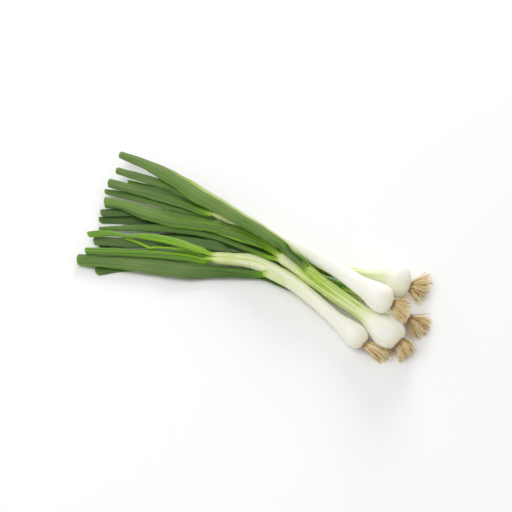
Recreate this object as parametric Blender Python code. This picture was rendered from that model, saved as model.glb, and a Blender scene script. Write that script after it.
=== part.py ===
"""Spring onion bunch lying on a flat surface: five onions, each with a bulb and stem, leaves and roots.

+X runs along the bunch towards the roots, +Z is up, and the lowest points lie at z = 0. The routes of
the stems and leaves are read off a photograph: each row starts with a pixel across and down in it and
a height above the ground, and place() gives the real point. Sizes are in millimetres, and are turned
into metres when a mesh is made.
"""

import math
import random

import bmesh
import bpy
import numpy as np

MM = 0.001

# the photograph: its middle pixel, the real size of a pixel there, and where it is seen from
PHOTO_MIDDLE = 256.0
PHOTO_PIXEL = 0.85
PHOTO_AZIMUTH = math.radians(23.0)
PHOTO_ELEVATION = math.radians(52.0)
PHOTO_DISTANCE = 1200.0
PHOTO_TARGET = np.array([-2.6, 3.0, 10.0])

STEM_SIDES = 16
STEM_PITCH = 7.0  # distance between rings along a stem
BULB_PITCH = 3.2  # the same within BULB_LENGTH of the root end
BULB_LENGTH = 34.0
LEAF_PITCH = 7.0
LEAST_RINGS = 8
CURVE_STEPS = 16  # points between two rows of a route when its curve is worked out
LEAF_STOPS = (-1.0, -0.6, 0.0, 0.6, 1.0)  # places across a blade, in half widths
LEAF_FULLNESS = (0.3, 0.84, 1.0, 0.84, 0.3)  # thickness there, as a share of the middle's
LEAF_EDGE = 0.36  # least half thickness of a blade
LEAST_BEND = 2.0  # degrees
CLING_GAP = 0.5  # space between a leaf's base and the stem that it wraps
CLING_THICK = (1.3, 1.5, 2.0)

ROOT_SIDES = 3
ROOT_STEPS = 4
ROOT_RADIUS = (0.85, 0.42)  # at the plate and at the tip
ROOT_SWAY = 1.6
ROOT_FLOOR = 0.9  # least height of a root's middle line
ROOT_START = 1.5  # how far past the plate a root starts, inside the core
ROOT_RING = 0.72  # how far out on the plate the roots start, as a share of its radius
ROOT_LENGTHS = (0.75, 1.08)  # drawn share of the tuft's length
ROOT_FANS = (0.8, 1.1)
ROOT_DROOPS = (0.6, 1.2)
CORE_SIDES = 10
CORE_RINGS = ((0.35, 0.95), (2.35, 0.9), (4.85, 0.55), (6.85, 0.3))  # reach past the plate, share of radius
GOLDEN_ANGLE = math.pi * (3.0 - math.sqrt(5.0))

# each stem from its root plate to where its last leaf leaves it: pixel across and down, height, radius
STEMS = {
    "a": [
        (409.5, 286.6, 10.9, 4.2), (407.4, 285.8, 11.3, 8.6), (403.5, 284.2, 11.8, 11.8),
        (397.0, 280.8, 12.3, 13.4), (389.0, 278.6, 11.9, 11.1), (381.5, 277.6, 11.5, 7.2),
        (374.0, 276.6, 11.2, 5.5), (360.0, 275.0, 9.6, 5.2), (344.0, 273.0, 8.2, 5.2),
        (320.0, 267.0, 6.3, 5.0), (300.0, 258.5, 5.2, 4.8), (278.0, 249.0, 4.6, 4.2),
        (264.0, 243.5, 4.2, 2.4),
    ],
    "b": [
        (391.4, 304.0, 32.5, 4.0), (389.6, 303.2, 33.0, 8.0), (385.8, 301.4, 33.5, 10.6),
        (379.5, 297.4, 33.6, 11.4), (372.5, 292.6, 33.0, 10.0), (365.5, 288.3, 32.2, 8.4),
        (356.0, 282.5, 30.8, 7.2), (340.0, 271.4, 28.2, 6.5), (320.0, 260.0, 25.6, 6.2),
        (300.0, 249.2, 23.2, 6.0), (278.0, 240.0, 21.5, 5.6), (260.0, 231.3, 20.0, 5.4),
        (243.0, 222.2, 18.6, 5.1), (229.0, 217.8, 17.4, 4.8), (219.0, 214.8, 17.2, 3.4),
        (213.0, 213.0, 17.0, 2.0),
    ],
    "c": [
        (399.6, 342.0, 11.4, 4.6), (397.8, 340.3, 11.9, 8.8), (393.4, 336.4, 12.5, 12.2),
        (386.2, 331.0, 12.8, 13.8), (378.0, 324.8, 13.5, 11.3), (370.6, 319.1, 14.5, 8.3),
        (363.0, 313.8, 14.9, 6.3), (350.0, 304.6, 15.9, 6.2), (330.0, 290.5, 17.5, 6.4),
        (310.0, 276.2, 18.1, 6.3), (298.0, 267.5, 17.6, 5.6), (288.0, 260.6, 16.8, 5.0),
        (281.0, 256.9, 15.8, 3.7), (275.0, 254.2, 14.6, 2.1),
    ],
    "d": [
        (365.2, 343.6, 8.7, 3.4), (363.2, 341.8, 9.1, 6.4), (359.4, 338.8, 9.2, 9.0),
        (353.0, 333.8, 9.2, 9.7), (345.5, 327.2, 9.4, 8.0), (336.0, 319.2, 9.8, 6.3),
        (322.0, 306.4, 9.6, 6.0), (300.0, 287.5, 10.2, 6.4), (280.0, 274.8, 10.4, 6.5),
        (262.0, 265.2, 9.8, 6.1), (245.0, 260.6, 8.8, 5.7), (230.0, 259.3, 8.2, 5.2),
        (218.0, 258.6, 7.6, 4.2), (209.0, 257.4, 7.2, 2.2),
    ],
    "e": [
        (409.0, 318.8, 8.6, 3.8), (406.5, 317.4, 9.0, 7.2), (402.0, 314.8, 9.3, 9.4),
        (394.5, 310.6, 9.5, 9.8), (385.0, 304.6, 9.2, 7.6), (373.0, 298.6, 9.2, 5.4),
        (345.0, 288.0, 8.2, 5.2), (320.0, 279.0, 6.6, 5.0), (300.0, 270.6, 5.2, 4.6),
        (285.0, 263.5, 4.6, 3.4), (278.0, 260.5, 4.4, 2.2),
    ],
}

# each leaf: where its base starts and ends along its stem, the side that it is on (0 is on top, 90 at
# the back) and half the angle of the stem that it wraps, all zero for a leaf that starts free at the
# stem's end, then pixel across and down, height, width, thickness, bend and roll from its base to its
# cut end
LEAVES = {
    "a_leaf_1": (112, 126, 25, 36, [
        (245, 240, 6.5, 9.0, 2.4, 20, 0), (215, 226, 5.2, 10.0, 2.6, 15, 0),
        (180, 216, 4.8, 10.5, 2.6, 12, 0), (145, 211.5, 4.8, 10.0, 2.6, 12, 0),
        (102, 213, 4.8, 8.5, 2.4, 8, 0),
    ]),
    "a_leaf_2": (98, 114, -80, 34, [
        (250, 245.3, 3.0, 5.5, 2.2, 25, -10), (220, 231.6, 1.6, 7.0, 2.4, 12, -3),
        (190, 225.5, 1.0, 9.5, 2.4, 6, 0), (150, 221, 0.8, 9.5, 2.4, 5, 0),
        (125, 220.2, 0.8, 9.0, 2.4, 5, 0), (100.5, 219.8, 1.6, 7.0, 2.2, 5, 0),
    ]),
    "b_leaf_1": (156, 168, 156, 16, [
        (221, 216.8, 12.0, 3.6, 1.4, 10, 0), (210, 215.2, 12.2, 4.5, 1.4, 12, 0),
        (198, 212.8, 11.6, 4.8, 1.6, 14, 0), (180, 209, 10.6, 6.5, 1.8, 14, 0),
        (165, 204.8, 9.8, 7.5, 1.8, 14, 0), (150, 200.6, 9.2, 8.2, 1.8, 12, 0),
        (125, 195, 7.4, 7.2, 1.8, 10, 0), (106, 191.5, 6.0, 6.0, 1.8, 8, 0),
    ]),
    "b_leaf_2": (182, 188, -46, 50, [
        (206, 211, 17.6, 9.0, 2.4, 30, -14), (198, 208.4, 16.4, 10.0, 2.5, 22, -6),
        (190, 205, 15.4, 11.0, 2.6, 20, 0), (170, 197.4, 13.8, 14.0, 3.2, 18, 0),
        (150, 192, 12.2, 13.5, 3.2, 14, 0), (130, 188, 10.8, 10.5, 3.0, 12, 0),
        (109.5, 182.8, 9.4, 9.5, 2.6, 8, 0),
    ]),
    "b_leaf_3": (166, 177, 50, 34, [
        (204, 202.2, 20.2, 9.5, 2.6, 22, 10), (190, 194.8, 19.2, 10.5, 2.6, 14, 5),
        (170, 185.8, 17.4, 9.5, 2.8, 12, 0), (150, 180, 15.4, 9.0, 2.8, 12, 0),
        (117.5, 170.5, 12.5, 8.0, 2.4, 8, 0),
    ]),
    "b_leaf_4": (0, 0, 0, 0, [
        (203.5, 204.3, 17.8, 3.0, 1.4, 8, 0), (196, 200, 17.2, 3.5, 1.4, 10, 0),
        (185, 194.4, 13.4, 4.0, 1.5, 10, 0), (165, 188.6, 9.4, 4.0, 1.5, 10, 0),
        (148, 186, 8.6, 4.0, 1.4, 8, 0), (129, 181.8, 8.2, 4.0, 1.4, 8, 0),
    ]),
    "c_leaf_1": (117, 128, -22, 34, [
        (266, 243.2, 12.8, 12.5, 2.8, 34, -10), (255, 237.8, 12.2, 16.0, 3.0, 30, 0),
        (242, 232.6, 11.0, 17.5, 3.2, 26, 0), (230, 228.7, 10.4, 17.5, 3.2, 22, 0),
        (217, 225.4, 10.0, 16.5, 3.3, 20, 0), (197, 221.7, 9.6, 16.6, 3.4, 18, 0),
        (175, 219.2, 9.4, 17.5, 3.5, 16, 0), (157, 214.8, 9.4, 17.0, 3.6, 14, 0),
        (145, 211.8, 9.4, 16.0, 3.6, 13, 0), (135, 208.4, 9.2, 13.5, 3.5, 12, 0),
        (122, 204.6, 9.0, 11.0, 3.3, 10, 0), (105.5, 202.3, 8.6, 12.0, 3.0, 8, 0),
    ]),
    "c_leaf_2": (117, 127, -82, 22, [
        (268, 257, 15.8, 4.5, 2.0, 24, -24), (255, 252, 12.2, 4.8, 2.2, 22, -10),
        (240, 246.2, 7.8, 5.6, 2.2, 20, 0), (220, 238.4, 6.2, 6.5, 2.2, 16, 0),
        (200, 232.9, 6.0, 7.0, 2.4, 15, 0), (175, 229.4, 6.0, 7.5, 2.4, 12, 0),
        (150, 227.4, 5.8, 7.5, 2.4, 12, 0), (125, 227.9, 5.5, 6.5, 2.2, 10, 0),
        (100.5, 229, 5.0, 4.5, 2.0, 8, 0),
    ]),
    "c_leaf_3": (88, 98, 20, 46, [
        (300, 258.6, 29.6, 11.5, 2.6, 48, 4), (290, 250.6, 32.0, 11.5, 2.8, 46, 2),
        (281, 242.4, 32.6, 10.5, 3.2, 42, 0), (270, 234.8, 31.2, 11.0, 3.4, 35, 0),
        (258, 227, 29.4, 12.0, 3.4, 28, 0), (240, 217.2, 27.6, 13.5, 3.6, 25, 0),
        (220, 205.8, 26.0, 15.5, 3.8, 22, 0), (200, 194.9, 24.6, 18.0, 3.8, 18, 0),
        (180, 181.8, 22.8, 16.0, 3.6, 16, 0), (150, 166, 19.0, 11.5, 3.4, 12, 0),
        (121, 154.7, 14.0, 8.0, 2.8, 8, 0),
    ]),
    "d_leaf_1": (99, 108, -84, 26, [
        (264, 274.2, 9.0, 6.0, 2.0, 24, -84), (259, 274.8, 7.2, 6.6, 2.2, 20, -70),
        (253, 274.5, 6.0, 7.4, 2.4, 18, -54),
        (236, 272.7, 6.0, 8.5, 2.6, 20, -20), (210, 270.8, 5.0, 13.4, 3.4, 18, -5),
        (190, 269.9, 5.5, 16.5, 3.6, 14, 0), (170, 267.8, 5.5, 17.5, 3.6, 12, 0),
        (150, 265.5, 5.0, 16.0, 3.4, 12, 0), (130, 263.3, 5.0, 14.5, 3.2, 10, 0),
        (98, 261, 4.5, 12.5, 3.0, 8, 0), (78.5, 259.3, 4.0, 11.0, 2.6, 6, 0),
    ]),
    "d_leaf_2": (150, 160, -62, 38, [
        (202, 260.2, 6.6, 7.2, 2.4, 24, -12), (190, 257.7, 7.5, 8.6, 2.8, 20, 0),
        (170, 255.1, 7.3, 9.2, 2.8, 18, 0), (150, 253.4, 7.5, 8.5, 2.8, 15, 0),
        (110, 251.5, 7.0, 8.0, 2.6, 12, 0), (86.5, 250.8, 6.0, 7.5, 2.4, 8, 0),
    ]),
    "d_leaf_3": (0, 0, 0, 0, [
        (205, 255.3, 9.5, 2.6, 1.2, 8, 0), (195, 253, 9.2, 3.0, 1.4, 10, 0),
        (182.5, 250, 9.2, 3.0, 1.4, 10, 0), (165, 248, 9.2, 3.0, 1.4, 10, 0),
        (154, 247.6, 9.2, 3.0, 1.4, 10, 0), (150, 248.2, 9.2, 2.8, 1.4, 10, 0),
        (146, 246.4, 9.0, 2.8, 1.4, 10, 0), (137.5, 242.5, 8.6, 2.8, 1.3, 10, 0),
        (126, 238.4, 8.3, 3.0, 1.3, 8, 0),
    ]),
    "d_leaf_4": (124, 136, 104, 28, [
        (220, 246.4, 7.6, 10.0, 2.2, 28, 10), (200, 242.8, 6.8, 12.0, 2.6, 22, 5),
        (170, 240.7, 6.2, 11.0, 2.8, 18, 0), (150, 242, 6.0, 12.0, 2.8, 14, 0),
        (125, 242, 6.0, 11.0, 2.8, 12, 0), (95, 240.5, 5.5, 9.0, 2.6, 8, 0),
    ]),
    "d_leaf_5": (150, 160, 26, 40, [
        (201, 249.6, 12.4, 8.5, 2.2, 28, 12), (190, 246.2, 12.2, 9.0, 2.4, 25, 10),
        (170, 240.4, 11.8, 8.5, 2.4, 20, 0), (150, 236.8, 11.4, 7.5, 2.4, 15, 0),
        (138, 235.5, 11.2, 6.0, 2.2, 12, 10), (126, 235.6, 11.2, 4.0, 2.2, 8, 25),
        (118, 234.4, 11.0, 5.0, 2.2, 10, 10), (108, 233.2, 10.6, 6.5, 2.4, 12, 0),
        (97, 233.7, 9.8, 7.5, 2.4, 12, 0), (89, 234.3, 9.2, 6.5, 2.2, 8, 0),
    ]),
    "e_leaf_1": (100, 116, 12, 36, [
        (262, 256.4, 5.3, 6.5, 2.2, 20, 0), (240, 248.5, 2.4, 6.0, 2.2, 15, 0),
        (220, 241, 1.6, 7.0, 2.2, 10, 0), (200, 236.5, 1.2, 8.0, 2.2, 8, 0),
        (150, 238.5, 1.0, 8.0, 2.2, 6, 0), (101, 246.3, 1.4, 4.5, 2.0, 6, 0),
    ]),
    "e_leaf_2": (74, 88, -70, 40, [
        (297, 288, 1.9, 6.5, 1.8, 16, -10), (280, 282.8, 1.6, 7.5, 2.0, 12, 0),
        (262, 275.5, 1.2, 8.5, 2.2, 8, 0), (230, 271.5, 1.1, 9.5, 2.4, 6, 0),
        (190, 269, 1.0, 9.5, 2.4, 5, 0), (150, 266.5, 0.8, 9.5, 2.4, 5, 0),
        (120, 267.6, 0.8, 9.5, 2.4, 5, 0), (97, 271.1, 1.6, 8.5, 2.4, 5, 0),
    ]),
}

# each tuft of roots: count, length, spread in degrees sideways and up, turn sideways,
# turn downwards, droop over the length, seed
ROOTS = {
    "a": (20, 20.0, 52.0, 20.0, 30.0, 4.0, 6.0, 11),
    "b": (18, 16.5, 42.0, 16.0, 8.0, 2.0, 5.0, 12),
    "c": (18, 12.0, 42.0, 22.0, 0.0, 6.0, 8.0, 13),
    "d": (16, 23.0, 17.0, 9.0, 20.0, 4.0, 5.0, 14),
    "e": (20, 18.0, 46.0, 18.0, 6.0, 4.0, 6.0, 15),
}

COLOURS = {
    "stem": (0.86, 0.87, 0.72),
    "roots": (0.60, 0.45, 0.25),
    "leaf": (0.14, 0.26, 0.08),
    "bright": (0.26, 0.45, 0.06),
    "bluish": (0.13, 0.24, 0.14),
}
ROUGHNESS = 0.45
BRIGHT_LEAVES = ("b_leaf_2", "b_leaf_4", "d_leaf_3", "d_leaf_5")
BLUISH_LEAVES = ("d_leaf_4", "a_leaf_1", "a_leaf_2")


def clear_scene():
    for obj in list(bpy.data.objects):
        bpy.data.objects.remove(obj, do_unlink=True)


def material(name, colour):
    made = bpy.data.materials.new(name)
    made.use_nodes = True
    shader = made.node_tree.nodes["Principled BSDF"]
    shader.inputs["Base Color"].default_value = (*colour, 1.0)
    shader.inputs["Roughness"].default_value = ROUGHNESS
    return made


def mesh_object(name, points, faces, collection=None):
    """A mesh object from points in millimetres, resting on z = 0 where it would go below."""
    points = np.array(points, float)
    points[:, 2] = np.maximum(points[:, 2], 0.0)
    mesh = bpy.data.meshes.new(name)
    mesh.from_pydata((points * MM).tolist(), [], [list(face) for face in faces])
    mesh.validate()
    tidy = bmesh.new()
    tidy.from_mesh(mesh)
    bmesh.ops.recalc_face_normals(tidy, faces=tidy.faces)
    tidy.to_mesh(mesh)
    tidy.free()
    obj = bpy.data.objects.new(name, mesh)
    (collection or bpy.context.scene.collection).objects.link(obj)
    return obj


def place(across, down, height):
    """The real point at a height above the ground that the photograph shows at a pixel."""
    flat = math.cos(PHOTO_ELEVATION)
    back = np.array([
        math.sin(PHOTO_AZIMUTH) * flat, -math.cos(PHOTO_AZIMUTH) * flat, math.sin(PHOTO_ELEVATION),
    ])
    right = np.array([math.cos(PHOTO_AZIMUTH), math.sin(PHOTO_AZIMUTH), 0.0])
    up = np.cross(back, right)
    eye = PHOTO_TARGET + PHOTO_DISTANCE * back
    on_view = (across - PHOTO_MIDDLE) * right - (down - PHOTO_MIDDLE) * up
    ray = on_view * PHOTO_PIXEL / PHOTO_DISTANCE - back
    return eye + ray * (height - eye[2]) / ray[2]


def routed(rows):
    """The rows of a route with x, y and z in place of the pixel and height."""
    return [(*place(*row[:3]), *row[3:]) for row in rows]


def lengths_along(points):
    steps = np.linalg.norm(np.diff(points[:, :3], axis=0), axis=1)
    return np.concatenate([[0.0], np.cumsum(steps)])


def curve(rows, places_for):
    """Values of a smooth curve through all the rows, at the places that places_for gives its length."""
    rows = np.array(rows, float)
    padded = np.vstack([2 * rows[0] - rows[1], rows, 2 * rows[-1] - rows[-2]])
    fine = []
    for a, b, c, d in zip(padded, padded[1:], padded[2:], padded[3:]):
        for t in np.arange(CURVE_STEPS) / CURVE_STEPS:
            bowed = (2 * a - 5 * b + 4 * c - d) * t**2 + (3 * b - 3 * c + d - a) * t**3
            fine.append(0.5 * (2 * b + (c - a) * t + bowed))
    fine = np.array(fine + [rows[-1]])
    along = lengths_along(fine)
    places = places_for(along[-1])
    return np.array([np.interp(places, along, values) for values in fine.T]).T


def frames(points):
    """Unit vectors along a path, away from the ground, and sideways."""
    ahead = np.gradient(points, axis=0)
    ahead /= np.linalg.norm(ahead, axis=1)[:, None]
    up = np.array([0.0, 0.0, 1.0]) - ahead[:, 2:3] * ahead
    up /= np.linalg.norm(up, axis=1)[:, None]
    return ahead, up, np.cross(ahead, up)


def around(turn, up, side):
    """The direction at a turn around a path, from its up towards its side."""
    return math.cos(turn) * up + math.sin(turn) * side


def tube_faces(rings, sides, halves=None):
    """Faces of a closed tube. With halves, both faces of a blade are split into like triangles."""
    faces = [tuple(range(sides - 1, -1, -1)), tuple((rings - 1) * sides + k for k in range(sides))]
    for i in range(rings - 1):
        for k in range(sides):
            a, b = i * sides + k, i * sides + (k + 1) % sides
            c, d = b + sides, a + sides
            if halves is None or k < halves:
                faces += [(a, b, c), (a, c, d)]
            else:
                faces += [(a, b, d), (b, c, d)]
    return faces


def stem_places(length):
    bulb = np.arange(0.0, BULB_LENGTH, BULB_PITCH)
    shaft_rings = round((length - BULB_LENGTH) / STEM_PITCH)
    return np.concatenate([bulb, np.linspace(BULB_LENGTH, length, shaft_rings)])


def build_stem(key):
    rings = curve(routed(STEMS[key]), stem_places)
    _, up, side = frames(rings[:, :3])
    turns = [math.tau * (k + 0.5) / STEM_SIDES for k in range(STEM_SIDES)]
    points = [
        ring[:3] + ring[3] * around(turn, n, s)
        for ring, n, s in zip(rings, up, side)
        for turn in turns
    ]
    return mesh_object("onion_%s_stem" % key, points, tube_faces(len(rings), STEM_SIDES))


def cling_rows(key, start, end, turn, bend):
    """The first rows of a leaf, which hug the stem between two places along it."""
    fine = curve(routed(STEMS[key]), lambda length: np.arange(0.0, length, 1.0))
    _, up, side = frames(fine[:, :3])
    along = lengths_along(fine)
    rows = []
    for at, thick in zip(np.linspace(start, end, len(CLING_THICK)), CLING_THICK):
        i = int(np.searchsorted(along, at).clip(0, len(along) - 1))
        reach = fine[i, 3] + CLING_GAP + thick / 2
        middle = fine[i, :3] + reach * around(math.radians(turn), up[i], side[i])
        rows.append((*middle, 2 * math.radians(bend) * reach, thick, bend, turn))
    return rows


def blade_points(rows):
    """Ring points of a blade: one face from edge to edge, then the other one back."""
    _, up, side = frames(rows[:, :3])
    points = []
    for row, n, s in zip(rows, up, side):
        middle, width, thick, bend, roll = row[:3], row[3], row[4], row[5], math.radians(row[6])
        out, across = around(roll, n, s), around(roll, s, -n)
        half = math.radians(max(bend, LEAST_BEND))
        radius = width / (2 * half)
        for face, stops in ((1, LEAF_STOPS), (-1, LEAF_STOPS[::-1])):
            for stop in stops:
                fullness = LEAF_FULLNESS[LEAF_STOPS.index(stop)]
                reach = radius + face * max(thick / 2 * fullness, LEAF_EDGE)
                points.append(middle - radius * out + reach * around(stop * half, out, across))
    return points


def build_leaf(name):
    start, end, turn, bend, route = LEAVES[name]
    rows = routed(route)
    if bend:
        rows = cling_rows(name[0], start, end, turn, bend) + rows
    rings = curve(
        rows, lambda length: np.linspace(0.0, length, max(LEAST_RINGS, round(length / LEAF_PITCH)))
    )
    stops = len(LEAF_STOPS)
    return mesh_object("onion_" + name, blade_points(rings), tube_faces(len(rings), 2 * stops, stops))


def root_path(start, heading, side, length, sway, droop):
    """A root from the plate: it leaves at an angle, bends a little and sinks with its length."""
    path = []
    for t in np.linspace(0.0, 1.0, ROOT_STEPS + 1):
        point = start + length * t * heading + sway * math.sin(math.pi * t) * side
        point[2] = max(point[2] - droop * t * t, ROOT_FLOOR)
        path.append(point)
    return np.array(path)


def root_points(path, first_turn):
    _, up, side = frames(path)
    radii = np.linspace(*ROOT_RADIUS, len(path))
    turns = [math.tau * k / ROOT_SIDES + first_turn for k in range(ROOT_SIDES)]
    return [
        point + radius * around(turn, n, s)
        for point, radius, n, s in zip(path, radii, up, side)
        for turn in turns
    ]


def drop_voids(mesh):
    """Removes the closed pockets that crossing roots leave inside, and keeps the outer surface."""
    work = bmesh.new()
    work.from_mesh(mesh)
    left, shells = set(work.faces), []
    while left:
        shell, edge = set(), [left.pop()]
        while edge:
            face = edge.pop()
            shell.add(face)
            near = {other for side in face.edges for other in side.link_faces if other in left}
            left -= near
            edge.extend(near)
        shells.append(shell)
    outer = max(shells, key=len)
    bmesh.ops.delete(work, geom=[f for f in work.faces if f not in outer], context="FACES")
    work.to_mesh(mesh)
    work.free()


def union_with(body, pile):
    """Joins the objects of a collection to a body in one Boolean, and removes them."""
    join = body.modifiers.new("join", "BOOLEAN")
    join.operation = "UNION"
    join.operand_type = "COLLECTION"
    join.collection = pile
    join.solver = "MANIFOLD"
    bpy.context.view_layer.update()
    seen = body.evaluated_get(bpy.context.evaluated_depsgraph_get())
    joined = bpy.data.meshes.new_from_object(seen)
    body.modifiers.clear()
    body.data = joined
    for obj in list(pile.objects):
        bpy.data.objects.remove(obj, do_unlink=True)
    bpy.data.collections.remove(pile)


def build_roots(key):
    """A tuft of coarse roots that fan out of a core on the stem's root plate."""
    count, length, fan, rise, aside, down, droop, seed = ROOTS[key]
    draw = random.Random(seed)
    rings = curve(routed(STEMS[key]), stem_places)
    ahead, up, side = (axis[0] for axis in frames(rings[:, :3]))
    ahead, plate, radius = -ahead, rings[0, :3], rings[0, 3]
    aside, down = math.radians(aside), math.radians(down)
    middle = math.cos(aside) * math.cos(down) * ahead + math.sin(aside) * side - math.sin(down) * up
    middle /= np.linalg.norm(middle)
    core_turns = [math.tau * k / CORE_SIDES for k in range(CORE_SIDES)]
    core = [
        plate + reach * ahead + share * radius * around(turn, up, side)
        for reach, share in CORE_RINGS
        for turn in core_turns
    ]
    body = mesh_object("onion_%s_roots" % key, core, tube_faces(len(CORE_RINGS), CORE_SIDES))
    pile = bpy.data.collections.new("roots_" + key)
    bpy.context.scene.collection.children.link(pile)
    for k in range(count):
        ring = math.sqrt((k + 0.5) / count)
        a, b = ring * math.cos(k * GOLDEN_ANGLE), ring * math.sin(k * GOLDEN_ANGLE)
        start = plate + ROOT_START * ahead + ROOT_RING * radius * (a * side + b * up)
        reach = length * draw.uniform(*ROOT_LENGTHS)
        turn, lift = math.radians(fan * a * draw.uniform(*ROOT_FANS)), math.radians(rise * b)
        heading = math.cos(turn) * around(lift, middle, up) + math.sin(turn) * side
        sinks = droop * draw.uniform(*ROOT_DROOPS)
        path = root_path(start, heading, side, reach, draw.uniform(-ROOT_SWAY, ROOT_SWAY), sinks)
        mesh_object("root", root_points(path, k), tube_faces(len(path), ROOT_SIDES), pile)
    union_with(body, pile)
    drop_voids(body.data)
    return body


def leaf_colour(name):
    if name in BRIGHT_LEAVES:
        return COLOURS["bright"]
    return COLOURS["bluish" if name in BLUISH_LEAVES else "leaf"]


def main():
    clear_scene()
    for key in STEMS:
        stem = build_stem(key)
        stem.data.materials.append(material(stem.name, COLOURS["stem"]))
        roots = build_roots(key)
        roots.data.materials.clear()
        roots.data.materials.append(material(roots.name, COLOURS["roots"]))
    for name in LEAVES:
        leaf = build_leaf(name)
        leaf.data.materials.append(material(leaf.name, leaf_colour(name)))


main()
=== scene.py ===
"""Looks of the spring onion bunch: finer stems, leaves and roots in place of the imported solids.

The routes are read off the photograph, as in the part's source: each row starts with a pixel across
and down in it and a height above the ground, and place() gives the point in the part's own frame.
A few rows differ a little from the part's, to close slits that the photograph doesn't show. Sizes
are in millimetres, and are turned into metres when a mesh is made.
"""

import math
import random

import bmesh
import bpy
import numpy as np
from mathutils import Matrix, Vector


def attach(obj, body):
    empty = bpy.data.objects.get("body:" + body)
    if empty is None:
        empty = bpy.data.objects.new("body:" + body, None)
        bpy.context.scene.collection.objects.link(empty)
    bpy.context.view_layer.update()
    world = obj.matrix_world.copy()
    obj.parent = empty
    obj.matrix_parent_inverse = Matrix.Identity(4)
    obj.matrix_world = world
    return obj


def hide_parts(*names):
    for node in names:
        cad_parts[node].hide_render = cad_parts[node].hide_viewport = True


MM = 0.001
UP = np.array([0.0, 0.0, 1.0])
WHITE = (1.0, 1.0, 1.0, 1.0)
WAVE_SPREAD = (0.8, 1.25)  # how far an uneven wave's length may differ from the one asked for

# the photograph: its middle pixel, the real size of a pixel there, and where it is seen from
PHOTO_MIDDLE = 256.0
PHOTO_PIXEL = 0.85
PHOTO_AZIMUTH = math.radians(23.0)
PHOTO_ELEVATION = math.radians(52.0)
PHOTO_DISTANCE = 1200.0
PHOTO_TARGET = np.array([-2.6, 3.0, 10.0])
SENSOR = 36.0
NEAREST, FARTHEST = 0.05, 20.0  # what the camera sees, in metres

# fineness of the meshes
CURVE_STEPS = 48  # between two rows of a route
STEM_STEP, STEM_AROUND = 0.9, 96
LEAF_STEP, LEAF_ACROSS = 1.1, 29
FIXING_STEP = 1.0  # between the places on a stem where leaves and roots are fixed
ROOT_POINTS, ROOT_SIDES = 15, 5
PLATE_AROUND = 48
SHARP_EDGE = math.radians(50.0)

# the studio: how far the floor lies below the ground in mm, half its width in metres, brightness of
# the sky, and the lights, each with its place and size in metres and its power
FLOOR_DROP = 0.1
FLOOR_HALF = 4.0
SKY = 0.64
LIGHTS = {
    "back": ((-0.7, 2.4, 0.93), 1.0, 31.0),
    "top": ((-0.6, -0.35, 1.6), 1.2, 9.4),
}

# a stem's surface: oval and lobes as shares of its radius, with the mm over which each turns, then the
# number of its ribs, their height, and how far and over how many mm they sway
OVAL, OVAL_TURN = 0.014, 60
LOBES, LOBE_TURN = 0.008, 35
RIBS, RIB_HEIGHT, RIB_SWAY, RIB_WAVE = 11, 0.05, 0.4, 17

# a sheath's edge: how fast it rises, how far its step reaches, its points around the stem and their
# size, its light line, and the green of that line, which shows only past a place along the stem
EDGE_RISE, EDGE_FADE = 0.7, 16
EDGE_POINTS, EDGE_RAGGED = 5, 0.5
EDGE_LINE, EDGE_LINE_WIDTH = 0.3, 0.9
EDGE_GREEN, EDGE_GREEN_FROM = 0.06, 60

# where veins lie in their noise: radius around a stem, shift for each letter or seed, and half the
# shift from a leaf's upper face to its lower one
VEIN_RADIUS = 6
STEM_SHIFT, LEAF_SHIFT = 60.0, 31.0
FACE_SHIFT = 2.0
BROWN_REACH = 5.0  # how far the brown of the root plate reaches up the bulb

# a leaf's sheath: place in mm before its start, or share of the way from there to its end, thickness,
# half of the wrap in degrees and how deep it is sunk in the stem; its end wraps as the leaf's row says
SHEATH_REACH = 14
SHEATH = (
    (-SHEATH_REACH, 0.5, 78, 0.45), (-6, 0.8, 66, 0.35), (0, 1.1, 54, 0.2), (0.5, 1.4, 44, 0.0),
)
SHEATH_END = (1, 1.9, -0.3)
GREEN_BEFORE = 10  # how far before the leaf's start its first green is taken from the stem
FREE_START, FREE_GREEN = 7.0, 0.45  # a leaf that starts free, inside the stem's end

# a blade's section: its smallest bend in degrees, how full it is near its edges, and the least that its
# hollow has of half the thickness in mm and of the width as a share
LEAST_BEND = 2.0
FULLNESS = 2.6
LEAST_HALF, LEAST_SHARE = 0.12, 0.3

# unevenness of a free blade: the mm over which it sets in, wavelengths in mm and size, as shares of its
# width and thickness and in degrees of its roll, then height and width of its ribs and how far they reach
FREE_OVER = 25.0
WIDTH_WAVES = ((43, 19), 0.035)
THICKNESS_WAVES = ((31, 13), 0.10)
ROLL_WAVES = ((60, 27), 4.0)
BLADE_RIB, BLADE_RIB_WIDTH, RIBS_INSIDE = 0.045, 2.3, 4

# a crease along the upper face: its place in half widths, its drift, its depth, waves and width
CREASE_PLACES, CREASE_DRIFT = (-0.35, 0.35), ((120,), 0.08)
CREASE_DEPTHS, CREASE_EVEN, CREASE_WAVES = (0.12, 0.28), 0.6, ((50,), 0.4)
CREASE_WIDTH = 0.10

# a trough in the upper face near a leaf's base: where it begins and ends, its depth and half width
CHANNELS = {"c_leaf_3": (12, 52, 2.4, 0.46)}
CHANNEL_RISE, CHANNEL_FALL, CHANNEL_MIDDLE, CHANNEL_WALLS = 8, 10, 0.08, 6

# a fold along a leaf: its place across in half widths, its depth, and the green and wax beyond it
FOLDS = {
    "c_leaf_1": (-0.66, 0.35, 0.56, 0.05),
    # c_leaf_3's pale band beyond its fold is partly wax bloom and partly a painted highlight along its
    # edge
    "c_leaf_3": (0.36, 0.25, 0.26, 0.80),
    "b_leaf_2": (-0.60, 0.20, 0.80, 0.35),
    "d_leaf_2": (-0.55, 0.25, 0.66, 0.10),
}
NO_FOLD = (0.0, 0.0, 0.0, 0.0)
FOLD_WAVES = ((70, 33), 0.02)
FOLD_SOFTNESS, FOLD_LINE = 0.07, 0.055

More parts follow.
